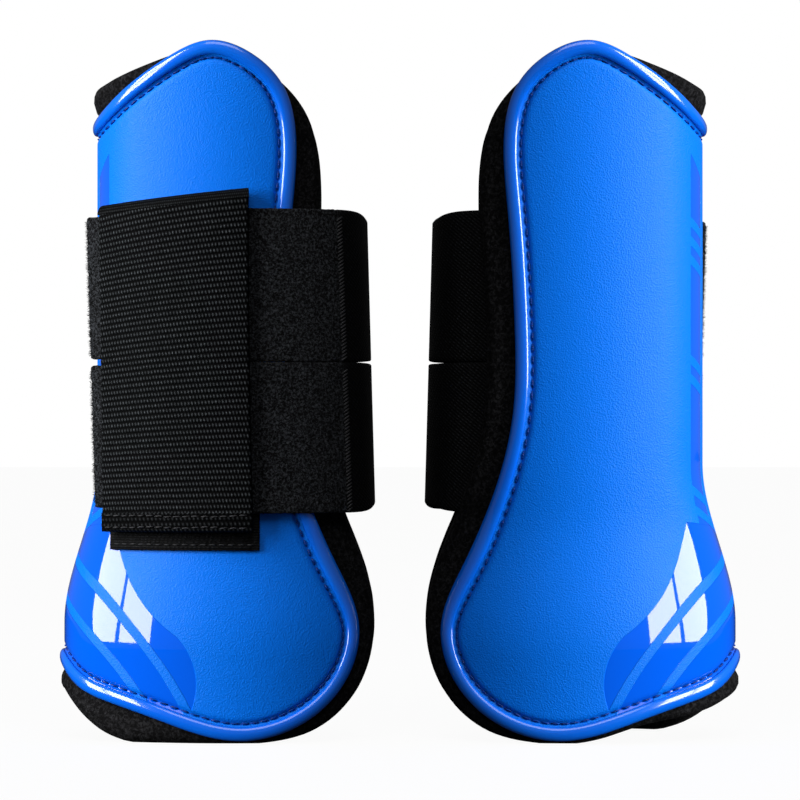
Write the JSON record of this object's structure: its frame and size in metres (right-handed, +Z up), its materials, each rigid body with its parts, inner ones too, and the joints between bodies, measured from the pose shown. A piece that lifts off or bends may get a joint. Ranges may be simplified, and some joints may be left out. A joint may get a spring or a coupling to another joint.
{
  "type": "tendon boots",
  "caption": "Open-front horse tendon boots: moulded shell, padded lining, elastic hook-and-loop straps under a closing flap.",
  "frame": {"origin": "midway between the boots, on the surface they stand on", "axes": "+Z up the leg; +X from the first boot toward the second, and the way the first boot's front faces; -Y the outside of the first boot, where its straps close; the second boot is turned half round"},
  "size_m": [0.237, 0.0852, 0.2398],
  "materials": {
    "moulded_shell": "satin, fine leather grain with polished recesses",
    "edge_piping": "glossy rounded bead",
    "blue_thread": "twisted thread",
    "padded_lining": "soft knit face over foam",
    "hook_tape": "woven hook tape",
    "loop_tape": "brushed loop pile",
    "woven_elastic": "fine twill elastic",
    "flap_webbing": "heavy ribbed webbing",
    "flap_binding": "coarse twill tape",
    "black_thread": "polyester thread"
  },
  "bodies": {
    "boot_a": {"shell_a": "moulded_shell", "edge_piping_a": "edge_piping", "edge_stitching_a": "blue_thread", "lining_a": "padded_lining", "hook_base_a": "hook_tape", "base_stitching_a": "black_thread", "flap_fold_a": "flap_webbing", "lower_strap_elastic_a": "woven_elastic", "upper_strap_elastic_a": "woven_elastic"},
    "flap_a": {"flap_webbing_a": "flap_webbing", "flap_end_binding_a": "flap_binding", "flap_hook_a": "hook_tape", "flap_stitching_a": "black_thread"},
    "lower_strap_a": {"lower_strap_tail_a": "loop_tape", "lower_strap_seam_a": "black_thread"},
    "upper_strap_a": {"upper_strap_tail_a": "loop_tape", "upper_strap_seam_a": "black_thread"},
    "boot_b": {"shell_b": "moulded_shell", "edge_piping_b": "edge_piping", "edge_stitching_b": "blue_thread", "lining_b": "padded_lining", "hook_base_b": "hook_tape", "base_stitching_b": "black_thread", "flap_fold_b": "flap_webbing", "lower_strap_elastic_b": "woven_elastic", "upper_strap_elastic_b": "woven_elastic"},
    "flap_b": {"flap_webbing_b": "flap_webbing", "flap_end_binding_b": "flap_binding", "flap_hook_b": "hook_tape", "flap_stitching_b": "black_thread"},
    "lower_strap_b": {"lower_strap_tail_b": "loop_tape", "lower_strap_seam_b": "black_thread"},
    "upper_strap_b": {"upper_strap_tail_b": "loop_tape", "upper_strap_seam_b": "black_thread"}
  },
  "joints": [
    {"name": "flap_hinge_a", "type": "hinge", "parent": "boot_a", "child": "flap_a", "pos_m": [-0.07819, -0.03591, 0.1832], "axis": [-0.9591, 0.2632, -0.1045], "range_deg": [0, 155], "deforming": ["flap_fold_a"]},
    {"name": "lower_strap_hinge_a", "type": "hinge", "parent": "boot_a", "child": "lower_strap_a", "pos_m": [-0.059, 0.034, 0.1045], "axis": [0, 0, 1], "range_deg": [0, 105], "deforming": ["lower_strap_elastic_a"]},
    {"name": "upper_strap_hinge_a", "type": "hinge", "parent": "boot_a", "child": "upper_strap_a", "pos_m": [-0.059, 0.034, 0.1555], "axis": [0, 0, 1], "range_deg": [0, 105], "deforming": ["upper_strap_elastic_a"]},
    {"name": "boots_apart", "type": "slide", "parent": "boot_a", "child": "boot_b", "axis": [1, 0, 0], "range_m": [0, 0.15]},
    {"name": "flap_hinge_b", "type": "hinge", "parent": "boot_b", "child": "flap_b", "pos_m": [0.07819, 0.03591, 0.1832], "axis": [0.9591, -0.2632, -0.1045], "range_deg": [0, 155], "deforming": ["flap_fold_b"]},
    {"name": "lower_strap_hinge_b", "type": "hinge", "parent": "boot_b", "child": "lower_strap_b", "pos_m": [0.059, -0.034, 0.1045], "axis": [0, 0, 1], "range_deg": [0, 105], "deforming": ["lower_strap_elastic_b"]},
    {"name": "upper_strap_hinge_b", "type": "hinge", "parent": "boot_b", "child": "upper_strap_b", "pos_m": [0.059, -0.034, 0.1555], "axis": [0, 0, 1], "range_deg": [0, 105], "deforming": ["upper_strap_elastic_b"]}
  ]
}
